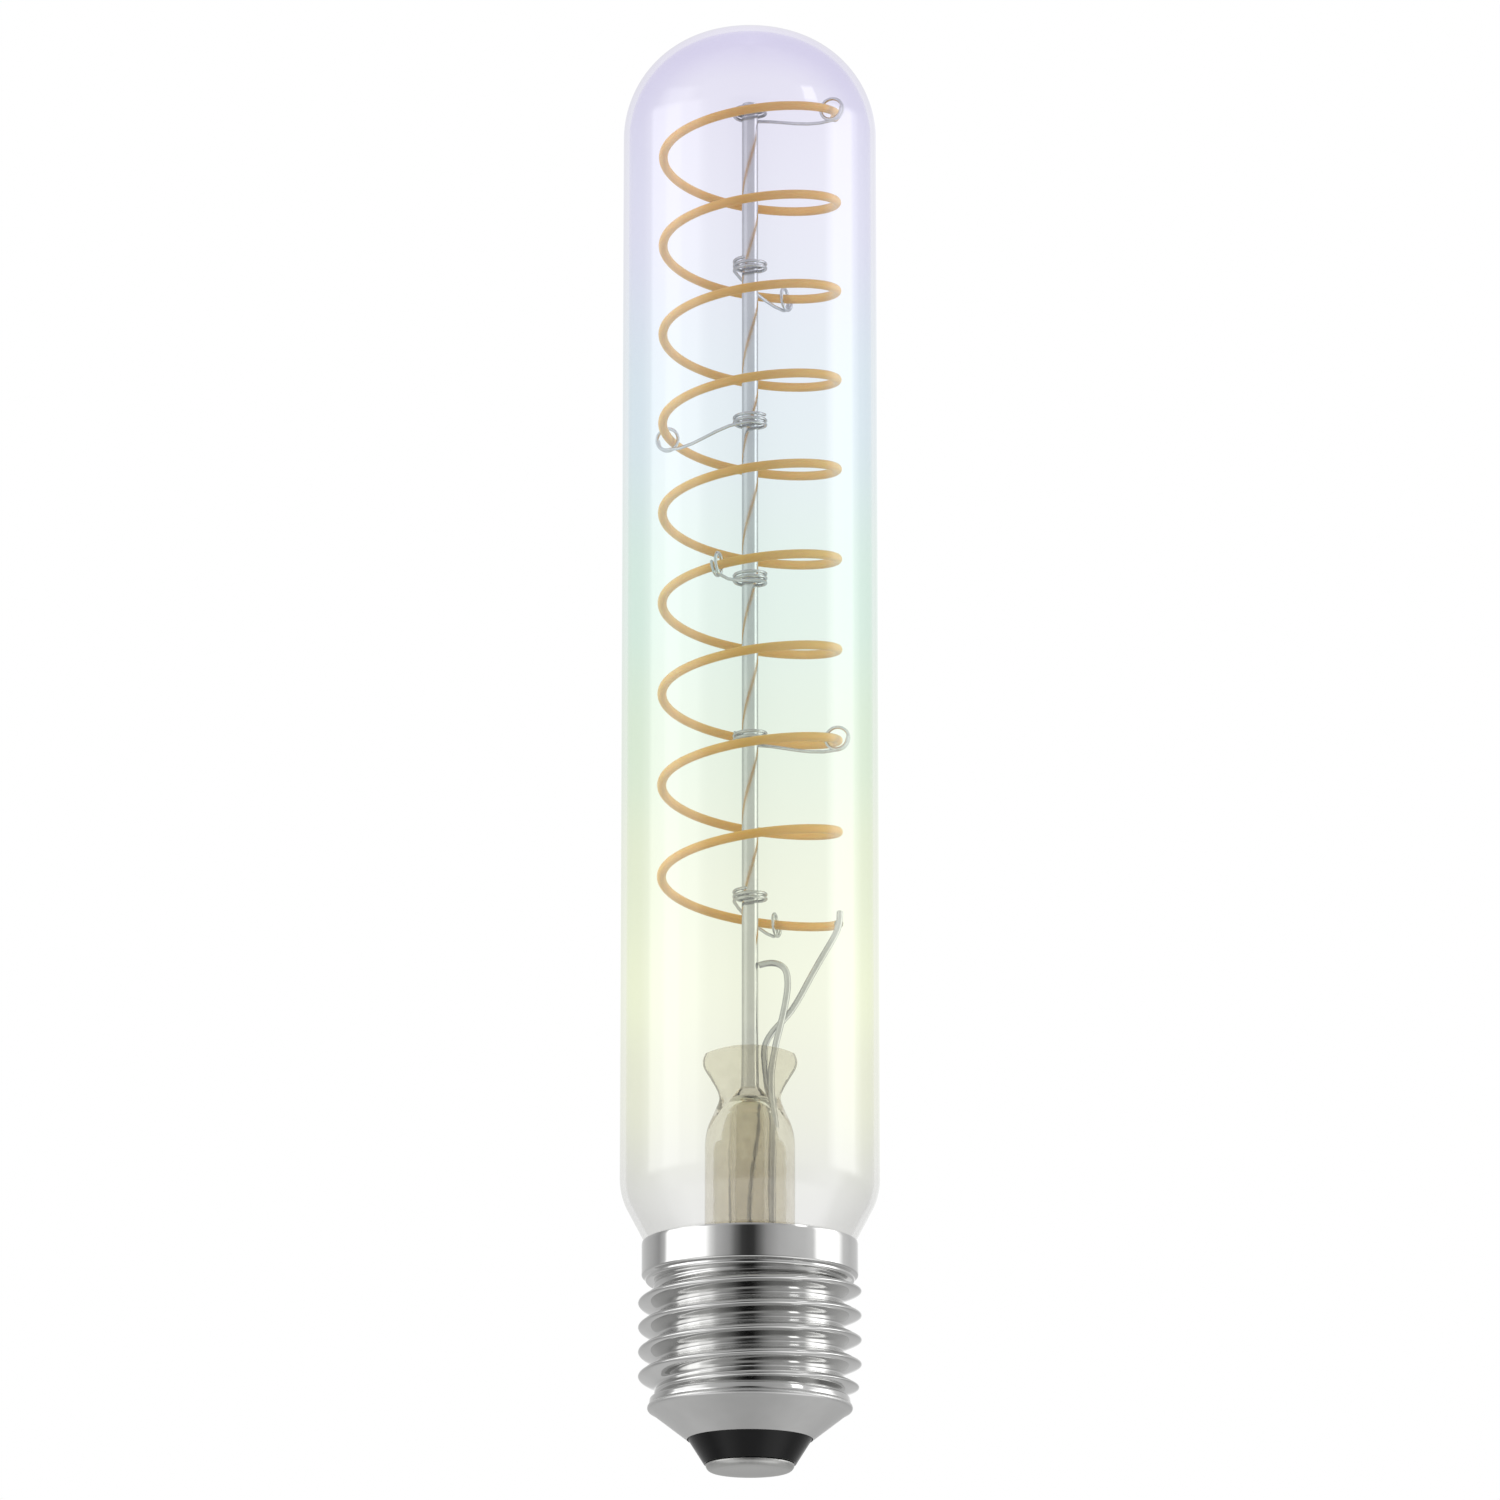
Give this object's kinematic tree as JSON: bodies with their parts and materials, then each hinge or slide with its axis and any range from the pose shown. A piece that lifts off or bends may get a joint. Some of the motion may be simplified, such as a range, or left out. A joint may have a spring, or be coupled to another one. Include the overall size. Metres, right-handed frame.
{
  "type": "tubular light bulb",
  "caption": "Tubular filament light bulb: a tinted clear glass tube with a domed top, a helical filament hung on hooks from a centre rod, a pressed stem and a plated screw cap",
  "frame": {"origin": "the middle of the flat of the centre contact, on the bulb's own axis, where the bulb meets its holder", "axes": "+Z runs along the bulb's axis from the cap to the top of the dome; +X points to the side where the filament's two ends lie; -Y is the side the picture shows"},
  "size_m": [0.0306, 0.0306, 0.1767],
  "materials": {
    "clear_glass": "clear, with a tint that runs from lavender at the dome through blue, mint and yellow to clear",
    "stem_glass": "clear lead glass, slightly beige",
    "exhaust_glass": "clear glass tube",
    "polished_rod": "polished",
    "filament_silicone": "ochre silicone over the light-giving strip, satin",
    "filament_end_metal": "plain",
    "hook_wire": "bright drawn wire",
    "lead_wire": "bright drawn wire",
    "plated_shell": "bright plating",
    "cement": "matte",
    "black_glass": "black, smooth",
    "contact_metal": "bright",
    "board": "matte laminate",
    "capacitor_can": "sleeved can",
    "resistor_body": "matte lacquer",
    "moulded_package": "matte moulding",
    "shell_wire": "tinned copper"
  },
  "bodies": {
    "root": {"glass_envelope": "clear_glass", "stem": "stem_glass", "exhaust_tube": "exhaust_glass", "centre_rod": "polished_rod", "led_filament": "filament_silicone", "filament_cap_top": "filament_end_metal", "filament_cap_bottom": "filament_end_metal", "support_hook_1": "hook_wire", "support_hook_2": "hook_wire", "support_hook_3": "hook_wire", "support_hook_4": "hook_wire", "support_hook_5": "hook_wire", "support_hook_6": "hook_wire", "lead_wire_rod": "lead_wire", "lead_wire_filament": "lead_wire", "screw_shell": "plated_shell", "basing_cement": "cement", "insulator": "black_glass", "centre_contact": "contact_metal", "driver_board": "board", "smoothing_capacitor": "capacitor_can", "fusible_resistor": "resistor_body", "bridge_rectifier": "moulded_package", "driver_chip": "moulded_package", "shell_wire": "shell_wire"}
  },
  "joints": []
}
